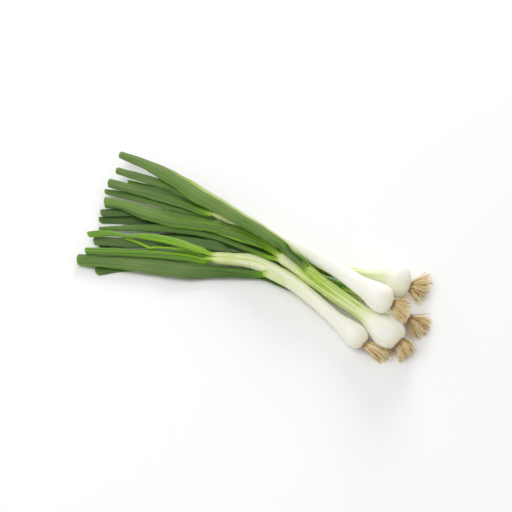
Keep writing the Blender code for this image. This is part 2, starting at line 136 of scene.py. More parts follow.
# a leaf's cut end: how much further it reaches at one edge, as a share of its width, and in its middle,
# the length that is shaped, then its hollow, its wall, and the rim between its outer and inner faces
SLANT, SLANT_SPREAD = 0.24, 0.05
SLANTS = {"d_leaf_1": 0.16, "d_leaf_4": 0.1}
TIP_BULGE, TIP_REACH = 1.4, 8
HOLLOW_DEPTH, HOLLOW_RINGS = 16.0, 9
WALL, WALL_SHARE = 0.7, 0.32
RIM_INSET, RIM_LIFT, RIM_REACH = 0.1, 0.6, 0.08
RIM_GREEN, HOLLOW_GREEN = 0.5, 0.6

# a leaf's green: where it starts to change at its base, how fast it darkens, and what is added for
# its edges (paler, partly wax bloom and partly a painted highlight), its trough (painted shade), its
# cut end, and its fold (painted shade along the fold's line)
BASE_BEFORE, BASE_RISE, BASE_GREEN, DARKENING = 6, 9, 0.52, 1.2
# paler leaf edges, partly wax bloom and partly a painted highlight
MARGIN_PALER, MARGIN_WIDTH = 0.10, 0.06
TROUGH_PAINTED_SHADE = 0.30
TIP_PALER, TIP_PALE_REACH = 0.12, 3
# painted shade along the line of a fold
FOLD_PAINTED_SHADE = 0.22
FOLD_GREEN_FROM, FOLD_GREEN_OVER = 0.45, 0.5
WAX_RISE, WAX_EVEN, WAX_WAVES = 26, 0.75, ((37, 90), 0.25)
# wax put around a trough near a leaf's base: partly wax bloom, partly a painted highlight on its banks
BANK_WAX_AND_HIGHLIGHT = 0.6

# roots: how many for each coarse one of the solid, their radius, taper and knots, how they wander, where
# on the plate they start, and how their directions, droops and lengths differ
ROOTS_PER_CAD_ROOT = 8
ROOT_RADII, ROOT_TAPER, ROOT_KNOTS, ROOT_KNOT_WAVE = (0.20, 0.36), 0.35, 0.1, 9
ROOT_SWAYS, SWAY_GROWTH = (0.25, 0.9), 0.7
SLOW_WAVES, QUICK_WAVES = (0.8, 1.6), (1.8, 3.2)
QUICK_ASIDE, SLOW_UP, QUICK_UP = 0.35, 0.8, 0.3
ROOT_LIE = 1.1  # height of a lying root's middle in radii
ROOT_START, ROOT_DOME, ROOT_RING = 0.2, 0.9, 0.9
ROOT_FANS, ROOT_STIR, ROOT_DROOPS = (0.7, 1.1), (-4, 4), (0.5, 1.2)
ROOT_LENGTHS, ROOT_LENGTH_POWER = (0.5, 1.05), 0.6
STRAY_SHARE, STRAY_LENGTHS, STRAY_THINNER = 0.05, (0.8, 1.12), 0.5

# the root plate's rings: place ahead of the stem's end and share of its radius there, then its lumps
PLATE_REACHES = np.array([-1.2, -0.4, 0.2, 0.8, 1.3, 1.6, 1.75])
PLATE_SHARES = np.array([0.90, 0.96, 0.96, 0.90, 0.72, 0.46, 0.16])
PLATE_LUMPS = ((5, 1, 0.05), (9, 2, 0.04), (17, 0, 0.03))

# each stem from its root plate to where its last leaf leaves it: pixel across and down, height, radius
STEMS = {
    "a": [
        (409.5, 286.6, 10.9, 4.2), (407.4, 285.8, 11.3, 8.6), (403.5, 284.2, 11.8, 11.8),
        (397.0, 280.8, 12.3, 13.4), (389.0, 278.6, 11.9, 11.1), (381.5, 277.6, 11.5, 7.2),
        (374.0, 276.6, 11.2, 5.5), (360.0, 275.0, 9.6, 5.2), (344.0, 273.0, 8.2, 5.2),
        (320.0, 267.0, 6.3, 5.0), (300.0, 258.5, 5.2, 4.8), (278.0, 249.0, 4.6, 4.2),
        (264.0, 243.5, 4.2, 2.4),
    ],
    "b": [
        (391.4, 304.0, 32.5, 4.0), (389.6, 303.2, 33.0, 8.0), (385.8, 301.4, 33.5, 10.6),
        (379.5, 297.4, 33.6, 11.4), (372.5, 292.6, 33.0, 10.0), (365.5, 288.3, 32.2, 8.4),
        (356.0, 282.5, 30.8, 7.2), (340.0, 271.4, 28.2, 6.5), (320.0, 260.0, 25.6, 6.2),
        (300.0, 249.2, 23.2, 6.0), (278.0, 240.0, 21.5, 5.6), (260.0, 229.8, 20.0, 5.1),
        (243.0, 221.2, 18.6, 4.9), (229.0, 217.8, 17.4, 4.8), (219.0, 214.8, 17.2, 3.4),
        (213.0, 213.0, 17.0, 2.0),
    ],
    "c": [
        (399.6, 342.0, 11.4, 4.6), (397.8, 340.3, 11.9, 8.8), (393.4, 336.4, 12.5, 12.2),
        (386.2, 331.0, 12.8, 13.8), (378.0, 324.8, 13.5, 11.3), (370.6, 319.1, 14.5, 8.3),
        (363.0, 313.8, 14.9, 6.3), (350.0, 304.6, 15.9, 6.2), (330.0, 290.5, 17.5, 6.4),
        (310.0, 276.2, 18.1, 6.3), (298.0, 267.5, 17.6, 5.6), (288.0, 260.6, 16.8, 5.0),
        (281.0, 256.9, 15.8, 3.7), (275.0, 254.2, 14.6, 2.1),
    ],
    "d": [
        (365.2, 343.6, 8.7, 3.4), (363.2, 341.8, 9.1, 6.4), (359.4, 338.8, 9.2, 9.0),
        (353.0, 333.8, 9.2, 9.7), (345.5, 327.2, 9.4, 8.0), (336.0, 319.2, 9.8, 6.3),
        (322.0, 306.4, 9.6, 6.0), (300.0, 287.5, 10.2, 6.4), (280.0, 274.8, 10.4, 6.5),
        (262.0, 265.2, 9.8, 6.1), (245.0, 260.6, 8.8, 5.7), (230.0, 259.3, 8.2, 5.2),
        (218.0, 258.6, 7.6, 4.2), (209.0, 257.4, 7.2, 2.2),
    ],
    "e": [
        (409.0, 318.8, 8.6, 3.8), (406.5, 317.4, 9.0, 7.2), (402.0, 314.8, 9.3, 9.4),
        (394.5, 310.6, 9.5, 9.8), (385.0, 304.6, 9.2, 7.6), (373.0, 298.6, 9.2, 5.4),
        (345.0, 288.0, 8.2, 5.2), (320.0, 279.0, 6.6, 5.0), (300.0, 270.6, 5.2, 4.6),
        (285.0, 263.5, 4.6, 3.4), (278.0, 260.5, 4.4, 2.2),
    ],
}

# each leaf: where its base starts and ends along its stem, the side that it is on (0 is on top, 90 at
# the back) and half the angle of the stem that it wraps, all zero for a leaf that starts free at the
# stem's end, then pixel across and down, height, width, thickness, bend and roll from its base to its
# cut end
LEAVES = {
    "a_leaf_1": (112, 126, 25, 36, [
        (245, 240, 6.5, 9.0, 2.4, 20, 0), (215, 226, 5.2, 10.0, 2.6, 15, 0),
        (180, 216, 4.8, 10.5, 2.6, 12, 0), (145, 211.5, 4.8, 10.0, 2.6, 12, 0),
        (102, 213, 4.8, 8.5, 2.4, 8, 0),
    ]),
    "a_leaf_2": (98, 114, -80, 34, [
        (250, 245.3, 3.0, 5.5, 2.2, 25, -10), (220, 231.6, 1.6, 7.0, 2.4, 12, -3),
        (190, 225.5, 1.0, 9.5, 2.4, 6, 0), (150, 221, 0.8, 9.5, 2.4, 5, 0),
        (125, 220.2, 0.8, 9.0, 2.4, 5, 0), (100.5, 219.8, 1.6, 7.0, 2.2, 5, 0),
    ]),
    "b_leaf_1": (156, 168, 156, 16, [
        (221, 216.8, 12.0, 4.6, 1.4, 10, 0), (210, 215.8, 12.0, 6.5, 1.4, 12, 0),
        (198, 213.2, 11.4, 6.6, 1.6, 14, 0), (180, 209, 10.6, 6.5, 1.8, 14, 0),
        (165, 204.8, 9.8, 7.5, 1.8, 14, 0), (150, 200.6, 9.2, 8.2, 1.8, 12, 0),
        (125, 195, 7.4, 7.2, 1.8, 10, 0), (106, 191.5, 6.0, 6.0, 1.8, 8, 0),
    ]),
    "b_leaf_2": (182, 188, -46, 50, [
        (206, 211, 17.6, 9.0, 2.4, 30, -14), (198, 208.4, 16.4, 10.0, 2.5, 22, -6),
        (190, 205, 15.4, 11.0, 2.6, 20, 0), (170, 197.4, 13.8, 14.0, 3.2, 18, 0),
        (150, 192, 12.2, 13.5, 3.2, 14, 0), (130, 188, 10.8, 10.5, 3.0, 12, 0),
        (109.5, 182.8, 9.4, 9.5, 2.6, 8, 0),
    ]),
    "b_leaf_3": (166, 177, 50, 34, [
        (204, 202.2, 20.2, 9.5, 2.6, 22, 10), (190, 194.8, 19.2, 10.5, 2.6, 14, 5),
        (170, 185.8, 17.4, 9.5, 2.8, 12, 0), (150, 180, 15.4, 9.0, 2.8, 12, 0),
        (117.5, 170.5, 12.5, 8.0, 2.4, 8, 0),
    ]),
    "b_leaf_4": (0, 0, 0, 0, [
        (203.5, 204.3, 17.8, 3.0, 1.4, 8, 0), (196, 200, 17.2, 3.5, 1.4, 10, 0),
        (185, 194.4, 13.4, 4.0, 1.5, 10, 0), (165, 188.6, 9.4, 4.0, 1.5, 10, 0),
        (148, 186, 8.6, 4.0, 1.4, 8, 0), (129, 181.8, 8.2, 4.0, 1.4, 8, 0),
    ]),
    "c_leaf_1": (117, 128, -22, 34, [
        (266, 243.2, 12.8, 12.5, 2.8, 34, -10), (255, 237.2, 12.2, 17.0, 3.0, 30, 0),
        (242, 231.8, 11.0, 19.0, 3.2, 26, 0), (230, 228.2, 10.4, 18.5, 3.2, 22, 0),
        (217, 225.4, 10.0, 16.5, 3.3, 20, 0), (197, 221.7, 9.6, 16.6, 3.4, 18, 0),
        (175, 219.2, 9.4, 17.5, 3.5, 16, 0), (157, 214.8, 9.4, 17.0, 3.6, 14, 0),
        (145, 211.8, 9.4, 16.0, 3.6, 13, 0), (135, 208.4, 9.2, 13.5, 3.5, 12, 0),
        (122, 204.6, 9.0, 11.0, 3.3, 10, 0), (105.5, 202.3, 8.6, 12.0, 3.0, 8, 0),
    ]),
    "c_leaf_2": (117, 127, -82, 22, [
        (268, 257, 15.8, 4.5, 2.0, 24, -24), (255, 252, 12.2, 4.8, 2.2, 22, -10),
        (240, 246.2, 7.8, 5.6, 2.2, 20, 0), (220, 238.4, 6.2, 6.5, 2.2, 16, 0),
        (200, 232.9, 6.0, 7.0, 2.4, 15, 0), (175, 229.4, 6.0, 7.5, 2.4, 12, 0),
        (150, 227.4, 5.8, 7.5, 2.4, 12, 0), (125, 227.9, 5.5, 6.5, 2.2, 10, 0),
        (100.5, 229, 5.0, 4.5, 2.0, 8, 0),
    ]),
    "c_leaf_3": (88, 98, 20, 46, [
        (300, 258.6, 29.6, 11.5, 2.6, 48, 4), (290, 250.6, 32.0, 11.5, 2.8, 46, 2),
        (281, 242.4, 32.6, 10.5, 3.2, 42, 0), (270, 235.4, 31.2, 11.8, 3.4, 35, 0),
        (258, 227.6, 29.4, 13.0, 3.4, 28, 0), (240, 217.6, 27.6, 14.4, 3.6, 25, 0),
        (220, 205.8, 26.0, 15.5, 3.8, 22, 0), (200, 194.9, 24.6, 18.0, 3.8, 18, 0),
        (180, 181.8, 22.8, 16.0, 3.6, 16, 0), (150, 166, 19.0, 11.5, 3.4, 12, 0),
        (121, 154.7, 14.0, 8.0, 2.8, 8, 0),
    ]),
    "d_leaf_1": (99, 108, -84, 26, [
        (264, 274.2, 9.0, 6.0, 2.0, 24, -84), (259, 274.8, 7.2, 6.6, 2.2, 20, -70),
        (253, 274.5, 6.0, 7.4, 2.4, 18, -54),
        (236, 272.7, 6.0, 8.5, 2.6, 20, -20), (210, 270.8, 5.0, 13.4, 3.4, 18, -5),
        (190, 269.9, 5.5, 16.5, 3.6, 14, 0), (170, 267.8, 5.5, 17.5, 3.6, 12, 0),
        (150, 265.5, 5.0, 16.0, 3.4, 12, 0), (130, 263.3, 5.0, 14.5, 3.2, 10, 0),
        (98, 261, 4.5, 12.5, 3.0, 8, 0), (78.5, 259.3, 4.0, 11.0, 2.6, 6, 0),
    ]),
    "d_leaf_2": (150, 160, -62, 38, [
        (202, 260.2, 6.6, 7.2, 2.4, 24, -12), (190, 257.7, 7.5, 8.6, 2.8, 20, 0),
        (170, 255.1, 7.3, 9.2, 2.8, 18, 0), (150, 253.4, 7.5, 8.5, 2.8, 15, 0),
        (110, 251.5, 7.0, 8.0, 2.6, 12, 0), (86.5, 250.8, 6.0, 7.5, 2.4, 8, 0),
    ]),
    "d_leaf_3": (0, 0, 0, 0, [
        (205, 255.3, 9.5, 2.6, 1.2, 8, 0), (195, 253, 9.2, 3.0, 1.4, 10, 0),
        (182.5, 250, 9.2, 3.0, 1.4, 10, 0), (165, 248, 9.2, 3.0, 1.4, 10, 0),
        (154, 247.6, 9.2, 3.0, 1.4, 10, 0), (150, 248.2, 9.2, 2.8, 1.4, 10, 0),
        (146, 246.4, 9.0, 2.8, 1.4, 10, 0), (137.5, 242.5, 8.6, 2.8, 1.3, 10, 0),
        (126, 238.4, 8.3, 3.0, 1.3, 8, 0),
    ]),
    "d_leaf_4": (124, 136, 104, 28, [
        (220, 246.4, 7.6, 10.0, 2.2, 28, 10), (200, 242.8, 6.8, 12.0, 2.6, 22, 5),
        (170, 240.7, 6.2, 11.0, 2.8, 18, 0), (150, 242, 6.0, 12.0, 2.8, 14, 0),
        (125, 242, 6.0, 11.0, 2.8, 12, 0), (95, 240.5, 5.5, 9.0, 2.6, 8, 0),
    ]),
    "d_leaf_5": (150, 160, 26, 40, [
        (201, 249.6, 12.4, 8.5, 2.2, 28, 12), (190, 246.2, 12.2, 9.0, 2.4, 25, 10),
        (170, 240.4, 11.8, 8.5, 2.4, 20, 0), (150, 236.8, 11.4, 7.5, 2.4, 15, 0),
        (138, 235.5, 11.2, 6.0, 2.2, 12, 10), (126, 235.6, 11.2, 4.0, 2.2, 8, 25),
        (118, 234.4, 11.0, 5.0, 2.2, 10, 10), (108, 233.2, 10.6, 6.5, 2.4, 12, 0),
        (97, 233.7, 9.8, 7.5, 2.4, 12, 0), (89, 234.3, 9.2, 6.5, 2.2, 8, 0),
    ]),
    "e_leaf_1": (100, 116, 12, 36, [
        (262, 256.4, 5.3, 6.5, 2.2, 20, 0), (240, 248.5, 2.4, 6.0, 2.2, 15, 0),
        (220, 241, 1.6, 7.0, 2.2, 10, 0), (200, 236.5, 1.2, 8.0, 2.2, 8, 0),
        (150, 238.5, 1.0, 8.0, 2.2, 6, 0), (101, 246.3, 1.4, 4.5, 2.0, 6, 0),
    ]),
    "e_leaf_2": (74, 88, -70, 40, [
        (297, 288, 1.9, 6.5, 1.8, 16, -10), (280, 282.8, 1.6, 7.5, 2.0, 12, 0),
        (262, 275.5, 1.2, 8.5, 2.2, 8, 0), (230, 271.5, 1.1, 9.5, 2.4, 6, 0),
        (190, 269, 1.0, 9.5, 2.4, 5, 0), (150, 266.5, 0.8, 9.5, 2.4, 5, 0),
        (120, 267.6, 0.8, 9.5, 2.4, 5, 0), (97, 271.1, 1.6, 8.5, 2.4, 5, 0),
    ]),
}

# each tuft of roots: count, length, spread in degrees sideways and up, turn sideways,
# turn downwards, droop over the length, seed
ROOTS = {
    "a": (20, 20.0, 52.0, 20.0, 30.0, 4.0, 6.0, 11),
    "b": (18, 16.5, 42.0, 16.0, 8.0, 2.0, 5.0, 12),
    "c": (18, 12.0, 42.0, 22.0, 0.0, 6.0, 8.0, 13),
    "d": (16, 23.0, 17.0, 9.0, 20.0, 4.0, 5.0, 14),
    "e": (20, 18.0, 46.0, 18.0, 6.0, 4.0, 6.0, 15),
}

# how green each stem is at places along it: 0 is white, 0.5 bright and 1 dark
STEM_GREENS = {
    "a": ((0, 0.02), (16, 0.03), (23, 0.18), (32, 0.30), (50, 0.36), (75, 0.5), (110, 0.7)),
    "b": ((0, 0.0), (70, 0.01), (105, 0.08), (130, 0.16), (165, 0.22), (190, 0.34)),
    "c": (
        (0, 0.01), (26, 0.02), (34, 0.22), (46, 0.40), (84, 0.40), (100, 0.30), (110, 0.16),
        (124, 0.16), (140, 0.5),
    ),
    "d": ((0, 0.03), (40, 0.03), (62, 0.11), (85, 0.21), (120, 0.27), (150, 0.25), (165, 0.42)),
    # e turns dark past 50 mm: partly its own green, partly painted shade where it lies under b
    "e": ((0, 0.06), (22, 0.12), (32, 0.36), (50, 0.60), (70, 0.85), (90, 0.95), (125, 1.0)),
}

# white stripes between a stem's veins: the place where they are strongest, their reach and strength
STRIPES = {
    "a": (30, 22, 0.7),
    "b": (150, 40, 0.6),
    "c": (46, 22, 0.75),
    "d": (112, 56, 0.6),
    "e": (40, 30, 0.6),
}

# sheath edges on each stem: place, slant in mm, side of the highest point, height of the step
COLLARS = {
    "a": ((52, 4, 30, 0.25),),
    "b": ((118, 5, -30, 0.3), (150, 5, 40, 0.3)),
    "c": ((75, 6, -20, 0.3), (104, 5, 10, 0.35), (122, 4, -40, 0.35)),
    "d": ((98, 5, -60, 0.3), (127, 5, 40, 0.3), (146, 4, -10, 0.3)),
    "e": ((60, 5, 20, 0.25),),
}

# each leaf: length of its bright base, the green that it reaches, where its wax starts past the
# base, its wax and its blue tint
LEAF_LOOKS = {
    "a_leaf_1": (12, 0.92, 0, 0.35, 0.5),
    "a_leaf_2": (12, 0.96, 0, 0.20, 0.3),
    "b_leaf_1": (14, 0.86, 0, 0.45, 0.2),
    "b_leaf_2": (20, 0.86, 10, 0.65, 0.3),
    "b_leaf_3": (10, 0.86, 0, 0.70, 0.2),
    "b_leaf_4": (40, 0.70, 20, 0.15, 0.0),
    # c_leaf_1's long bright base: its own bright green, lengthened as painted light against c_leaf_3's
    # shadow
    "c_leaf_1": (110, 0.86, 28, 0.85, 0.1),
    "c_leaf_2": (20, 0.86, 10, 0.35, 0.2),
    "c_leaf_3": (6, 0.84, 22, 0.75, 0.0),
    "d_leaf_1": (8, 0.88, 34, 0.70, 0.2),
    "d_leaf_2": (40, 0.74, 30, 0.25, 0.0),
    # d_leaf_3's light green: partly its own colour, partly painted light against the shade that falls on
    # it
    "d_leaf_3": (60, 0.56, 40, 0.05, 0.0),
    "d_leaf_4": (8, 0.92, 0, 0.55, 0.7),
    "d_leaf_5": (48, 0.72, 50, 0.35, 0.0),
    "e_leaf_1": (5, 0.95, 0, 0.15, 0.3),
    "e_leaf_2": (5, 0.95, 0, 0.25, 0.0),
}

# colours as shown on a screen: the greens of stems and leaves from white through bright to dark,
# then what lies over them
GREENS = (
    (0.00, (255, 254, 246)),
    (0.10, (248, 248, 224)),
    (0.22, (228, 236, 174)),
    (0.35, (194, 216, 108)),
    (0.50, (138, 186, 30)),
    (0.64, (102, 154, 24)),
    (0.80, (86, 124, 44)),
    (1.00, (58, 92, 34)),
)
WAX = (138, 152, 94)
BLUE = (78, 104, 66)
SKIN = (240, 234, 210)
# CREAM is laid on a bulb's root end: partly its own tone, partly painted shade
CREAM = (222, 205, 160)
BROWN = (120, 82, 48)
DARK_VEIN = (48, 88, 28)
SPECK = (235, 240, 215)
ROOT_TONES = (
    (0.15, (176, 136, 78)), (0.36, (234, 206, 144)), (0.66, (250, 234, 186)), (1.0, (254, 248, 224)),
)
ROOT_DARK = (112, 76, 42)
PLATE_TONES = ((0.3, (132, 92, 50)), (0.62, (202, 166, 112)))
FLOOR_TONES = ((0.3, (249, 249, 249)), (0.7, (251, 251, 251)))

# noise of the tissue: waves per mm across, across and along it, then detail and roughness
FINE_VEINS = ((1.9, 1.9, 0.014), 2.0, 0.6)
BROAD_VEINS = ((0.5, 0.5, 0.008), 2.0, 0.55)
PATCHES = ((0.16, 0.16, 0.035), 3.0, 0.6)
SPECKS = ((2.4, 2.4, 1.6), 2.0, 0.6)
# the same for the other materials, in waves per metre
ROOT_MOTTLE = ((900.0, 900.0, 900.0), 3.0, 0.6)
PLATE_COARSE = ((520.0, 520.0, 520.0), 4.0, 0.65)
PLATE_FINE = ((2100.0, 2100.0, 2100.0), 3.0, 0.6)
FLOOR_CLOUD = ((1.4, 1.4, 1.4), 1.0, 0.5)

# the levels between which a noise or value starts to count and counts in full
LINE_LEVELS, BAND_LEVELS = (0.40, 0.60), (0.36, 0.64)
DARK_LEVELS, SPECK_LEVELS, SKIN_LEVELS = (0.56, 0.72), (0.66, 0.8), (0.42, 0.7)
CREAM_LEVELS, BROWN_LEVELS = (0.05, 0.9), (0.95, 1.2)
ROOT_DARK_LEVELS = (-0.8, 3.0)

# how much each thing counts in the tissue's colour and surface
STRIPE_LINES, STRIPE_BANDS = 0.65, 0.35
STIR_LINES, STIR_BANDS, STIR_ON_GREEN = 0.22, 0.12, 2.2
WAX_LEAST, WAX_PATCHES, WAX_BETWEEN, WAX_LINES, WAX_COVER = 0.35, 1.1, 0.5, 0.6, 0.72
BLUE_COVER, DARK_COVER, SPECK_COVER = 0.6, 0.55, 0.10
BARE_ENDS, SKIN_PATCHES, SKIN_LINES = 4.0, 0.45, 0.22
CREAM_COVER, BROWN_VEINS = 0.55, 0.3
BUMP_FINE, BUMP_BROAD, TISSUE_BUMP = 0.5, 0.9, (0.00012, 0.55)
ROUGHER = 0.18
GLOW_REACHES = (1.0, 0.9, 0.55)  # of red, green and blue

# the same for roots and plates; a bump is a depth in metres and a strength
TONE_SHARE, MOTTLE_SHARE, DARK_MOTTLE, DARK_ROOTS = 0.75, 0.25, 2.0, 0.7
ROOT_BUMP = (0.0001, 0.5)
COARSE_SHARE, FINE_SHARE = 0.7, 0.3
PLATE_BUMP = (0.0006, 0.9)

# roughness and shine of each, then for tissue and roots how much glows through and its depth in metres
STEM_TISSUE = (0.44, 0.28, 0.22, 0.003)
LEAF_TISSUE = (0.5, 0.26, 0.05, 0.001)
ROOT_SURFACE = (0.7, 0.25, 0.08, 0.0006)
PLATE_SURFACE = (0.85, 0.2)
FLOOR_SURFACE = (0.75, 0.1)


def screen(colour):
    """A colour of 0 to 255 as shown on a screen, as the linear value that a shader takes."""
    parts = [c / 255 for c in colour]
    return (*(c / 12.92 if c <= 0.04045 else ((c + 0.055) / 1.055) ** 2.4 for c in parts), 1.0)


def view_axes():
    """Unit vectors of the photograph: to its right, to its top, and back to where it is taken from."""
    flat = math.cos(PHOTO_ELEVATION)
    back = np.array([
        math.sin(PHOTO_AZIMUTH) * flat, -math.cos(PHOTO_AZIMUTH) * flat, math.sin(PHOTO_ELEVATION),
    ])
    right = np.array([math.cos(PHOTO_AZIMUTH), math.sin(PHOTO_AZIMUTH), 0.0])
    return right, np.cross(back, right), back


def place(across, down, height):
    """The real point at a height above the ground that the photograph shows at a pixel."""
    right, up, back = view_axes()
    eye = PHOTO_TARGET + PHOTO_DISTANCE * back
    on_view = (across - PHOTO_MIDDLE) * right - (down - PHOTO_MIDDLE) * up
    ray = on_view * PHOTO_PIXEL / PHOTO_DISTANCE - back
    return eye + ray * (height - eye[2]) / ray[2]


def routed(rows):
    """The rows of a route with x, y and z in place of the pixel and height."""
    return [(*place(*row[:3]), *row[3:]) for row in rows]


def smooth(rows, step):
    """Places along a smooth curve through all the rows, about a step apart, and the values there."""
    rows = np.array(rows, float)
    padded = np.vstack([2 * rows[0] - rows[1], rows, 2 * rows[-1] - rows[-2]])
    t = (np.arange(CURVE_STEPS) / CURVE_STEPS)[:, None]
    fine = np.vstack([
        0.5 * (2 * b + (c - a) * t + (2 * a - 5 * b + 4 * c - d) * t**2 + (3 * b - 3 * c + d - a) * t**3)
        for a, b, c, d in zip(padded, padded[1:], padded[2:], padded[3:])
    ] + [rows[-1:]])
    steps = np.linalg.norm(np.diff(fine[:, :3], axis=0), axis=1)
    along = np.concatenate([[0.0], np.cumsum(steps)])
    places = np.linspace(0.0, along[-1], max(4, round(along[-1] / step) + 1))
    return places, np.array([np.interp(places, along, column) for column in fine.T]).T


def frames(points):
    """Unit vectors along a path, away from the ground, and sideways."""
    ahead = np.gradient(points, axis=0)
    ahead /= np.linalg.norm(ahead, axis=1)[:, None]
    up = UP - ahead[:, 2:3] * ahead
    up /= np.linalg.norm(up, axis=1)[:, None]
    return ahead, up, np.cross(ahead, up)


def ease(x):
    """0 below 0, 1 above 1 and smooth between."""
    x = np.clip(x, 0.0, 1.0)
    return x * x * (3 - 2 * x)


def ripple(places, seed, waves, size):
    """A gentle uneven wave, from several wavelengths in mm."""
    draw = random.Random(seed)
    total = np.zeros_like(places)
    for wave in waves:
        length = wave * draw.uniform(*WAVE_SPREAD)
        total += np.sin(math.tau * places / length + draw.uniform(0, math.tau))
    return size * total / len(waves)


class Body:
    """Points, faces and values of one piece, gathered tube by tube."""

    def __init__(self):
        self.points, self.faces, self.values, self.count = [], [], {}, 0

    def tube(self, rings, **values):
        """A closed tube from its rings, each end closed at its middle, with a value at each point."""
        n, m = rings.shape[:2]
        at = self.count + np.arange(n * m).reshape(n, m)
        beside = np.roll(at, -1, axis=1)
        quads = np.stack([at[:-1], beside[:-1], beside[1:], at[1:]], axis=-1).reshape(-1, 4)
        first, last = self.count + n * m, self.count + n * m + 1
        self.faces += quads.tolist()
        self.faces += [(first, b, a) for a, b in zip(at[0].tolist(), beside[0].tolist())]
        self.faces += [(last, a, b) for a, b in zip(at[-1].tolist(), beside[-1].tolist())]
        self.points.append(self.with_ends(rings))
        for name, value in values.items():
            self.values.setdefault(name, []).append(self.with_ends(value))
        self.count += n * m + 2

    @staticmethod
    def with_ends(grid):
        """The rows of a grid one after another, then the middles of its first and last row."""
        ends = np.stack([grid[0].mean(axis=0), grid[-1].mean(axis=0)])
        return np.concatenate([grid.reshape(-1, *grid.shape[2:]), ends])

    def piece(self, name, material):
        """The body as one piece of the scene, with its values as vertex attributes."""
        points = np.concatenate(self.points)
        points[:, 2] = np.maximum(points[:, 2], 0.0)
        mesh = bpy.data.meshes.new(name)
        mesh.from_pydata((points * MM).tolist(), [], self.faces)
        work = bmesh.new()
        work.from_mesh(mesh)
        bmesh.ops.recalc_face_normals(work, faces=work.faces)
        work.to_mesh(mesh)
        work.free()
        for key, parts in self.values.items():
            value = np.concatenate(parts)
            kind, field = ("FLOAT_VECTOR", "vector") if value.ndim == 2 else ("FLOAT", "value")
            layer = mesh.attributes.new(key, kind, "POINT")
            layer.data.foreach_set(field, value.astype(np.float32).ravel())
        mesh.shade_smooth()
        mesh.set_sharp_from_angle(angle=SHARP_EDGE)
        mesh.materials.append(material)
        obj = bpy.data.objects.new(name, mesh)
        bpy.context.scene.collection.objects.link(obj)
        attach(obj, "root")
        return obj


def stem_radius(key, places, radii, turns):
    """The radius at each place and turn, with ribs, sheath edges and a slightly uneven round."""
    s, t = places[:, None], turns[None, :]
    seed = ord(key)
    oval = OVAL * np.cos(2 * t + seed + s / OVAL_TURN)
    lobes = LOBES * np.cos(3 * t + 2.1 * seed - s / LOBE_TURN)
    radius = radii[:, None] * (1 + oval + lobes)
    radius = radius + RIB_HEIGHT * np.cos(RIBS * t + RIB_SWAY * np.sin(s / RIB_WAVE + seed))
    edge_glow = np.zeros_like(radius)
    for spot, slant, side, height in COLLARS[key]:
        points = EDGE_RAGGED * np.cos(EDGE_POINTS * t + spot)
        under = spot + slant * np.cos(t - math.radians(side)) + points - s
        fade = np.exp(-np.clip(under, 0, None) / EDGE_FADE)
        radius = radius + height * ease(under / EDGE_RISE) * fade
        edge_glow = np.maximum(edge_glow, np.exp(-((under - EDGE_LINE) / EDGE_LINE_WIDTH) ** 2))
    return radius, edge_glow


def build_stem(key, material):
    """A stem with its bulb, and the greens, stripes and veins of its surface."""
    places, rows = smooth(routed(STEMS[key]), STEM_STEP)
    _, up, side = frames(rows[:, :3])
    turns = math.tau * np.arange(STEM_AROUND) / STEM_AROUND
    radius, glow = stem_radius(key, places, rows[:, 3], turns)
    out = np.cos(turns)[None, :, None] * up[:, None] + np.sin(turns)[None, :, None] * side[:, None]
    rings = rows[:, None, :3] + radius[:, :, None] * out
    edges = EDGE_GREEN * glow * (places > EDGE_GREEN_FROM)[:, None]
    green = np.interp(places, *zip(*STEM_GREENS[key]))[:, None] + edges
    grain = np.stack(np.broadcast_arrays(
        VEIN_RADIUS * np.cos(turns)[None, :], VEIN_RADIUS * np.sin(turns)[None, :],
        places[:, None] + STEM_SHIFT * ord(key),
    ), axis=-1)
    # near the root end: brown of the plate, and cream that is partly the bulb's tone and partly painted
    # shade
    warm = np.exp(-places / BROWN_REACH)[:, None]
    middle, reach, strength = STRIPES[key]
    stripe = strength * np.exp(-((places - middle) / reach) ** 2)[:, None]
    none = np.zeros_like(radius)
    body = Body()
    body.tube(
        rings, green=green + none, grain=grain, warm=warm + none,
        wax=none, blue=none, stripe=stripe + none,
    )
    obj = body.piece("stem_" + key, material)
    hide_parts("onion_%s_stem" % key)
    return obj


def base_rows(key, start, end, turn, hug):
    """The first rows of a leaf: a thin sheath that rises out of the stem and narrows to the blade."""
    along, fine = smooth(routed(STEMS[key]), FIXING_STEP)
    _, up, side = frames(fine[:, :3])
    end_share, end_thick, end_sink = SHEATH_END
    rows = []
    for share, thick, half, sink in (*SHEATH, (end_share, end_thick, hug, end_sink)):
        spot = start + share if share <= 0 else start + share * (end - start)
        i = int(np.searchsorted(along, spot).clip(0, len(along) - 1))
        out = math.cos(math.radians(turn)) * up[i] + math.sin(math.radians(turn)) * side[i]
        reach = fine[i, 3] + thick / 2 - sink
        rows.append((*(fine[i, :3] + reach * out), 2 * math.radians(half) * reach, thick, half, turn))
    return rows


def free_start(route):
    """A first row inside the stem's end, for a leaf that leaves it there."""
    first, second = np.array(route[0]), np.array(route[1])
    ahead = (second - first)[:3]
    middle = first[:3] - FREE_START * ahead / np.linalg.norm(ahead)
    return (*middle, *first[3:])


